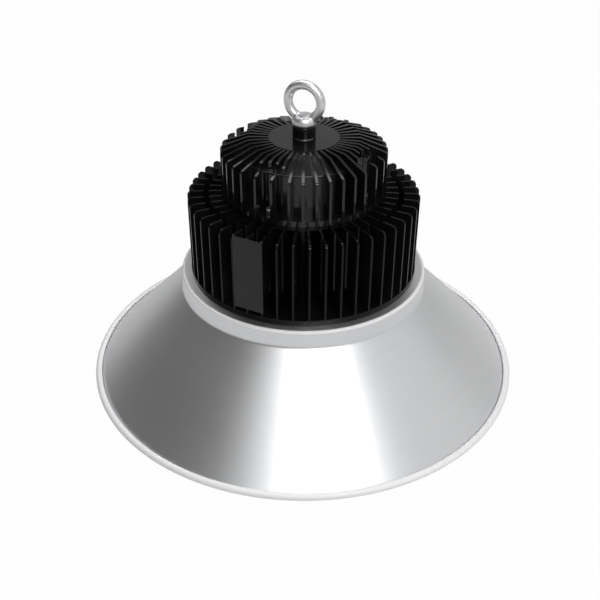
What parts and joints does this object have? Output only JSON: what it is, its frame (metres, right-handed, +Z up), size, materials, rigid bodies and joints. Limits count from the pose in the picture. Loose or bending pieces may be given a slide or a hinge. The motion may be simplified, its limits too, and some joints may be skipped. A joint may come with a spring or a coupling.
{
  "type": "high bay light",
  "caption": "Industrial high bay light: spun conical reflector with a rolled rim, finned heat sink, finned driver housing on top and an eye bolt to hang it by.",
  "frame": {"origin": "centre of the circle that the rolled rim of the reflector stands on, which is the bottom centre of the bounding box", "axes": "+Z up along the lamp's axis, from the open reflector to the eye bolt; +Y away from the viewer of the picture, near the side with the cable gland; +X to that viewer's right"},
  "size_m": [0.4099, 0.41, 0.286],
  "materials": {
    "spun_aluminium": "satin anodised, fine spinning marks",
    "black_casting": "semi-gloss black coat on cast aluminium",
    "black_hub": "gloss black coat",
    "zinc_steel": "bright zinc plate",
    "screw_steel": "zinc plate",
    "black_rubber": "matte",
    "clear_silicone": "translucent matte silicone",
    "grey_silicone": "matte silicone sheet",
    "black_nylon": "fine matte nylon",
    "grey_plate": "satin dark grey, bare",
    "driver_can": "plain pressed can",
    "white_sheet": "matte insulating sheet",
    "terminal_plastic": "moulded",
    "lead_insulation": "wire insulation",
    "white_board": "white solder mask on an aluminium board",
    "led_phosphor": "phosphor under clear silicone",
    "clear_glass": "clear tempered glass"
  },
  "bodies": {
    "root": {"board_screws": "screw_steel", "driver_housing": "black_casting", "driver_screws": "screw_steel", "driver_sheet": "white_sheet", "eye_bolt": "zinc_steel", "gland_body": "black_nylon", "gland_cap": "black_nylon", "gland_seal": "black_rubber", "gland_washer": "black_rubber", "glass_cover": "clear_glass", "heat_sink": "black_casting", "housing_gasket": "black_rubber", "housing_screws": "screw_steel", "hub_washer": "zinc_steel", "inner_nut": "zinc_steel", "inner_washer": "zinc_steel", "label_plate": "grey_plate", "led_board": "white_board", "led_chips": "led_phosphor", "led_driver": "driver_can", "lens_gasket": "clear_silicone", "lens_ring": "spun_aluminium", "lens_ring_screws": "screw_steel", "mounting_hub": "black_hub", "output_leads": "lead_insulation", "reflector": "spun_aluminium", "reflector_screws": "screw_steel", "terminal_block": "terminal_plastic", "thermal_pad": "grey_silicone", "wire_grommet": "black_rubber"}
  },
  "joints": []
}
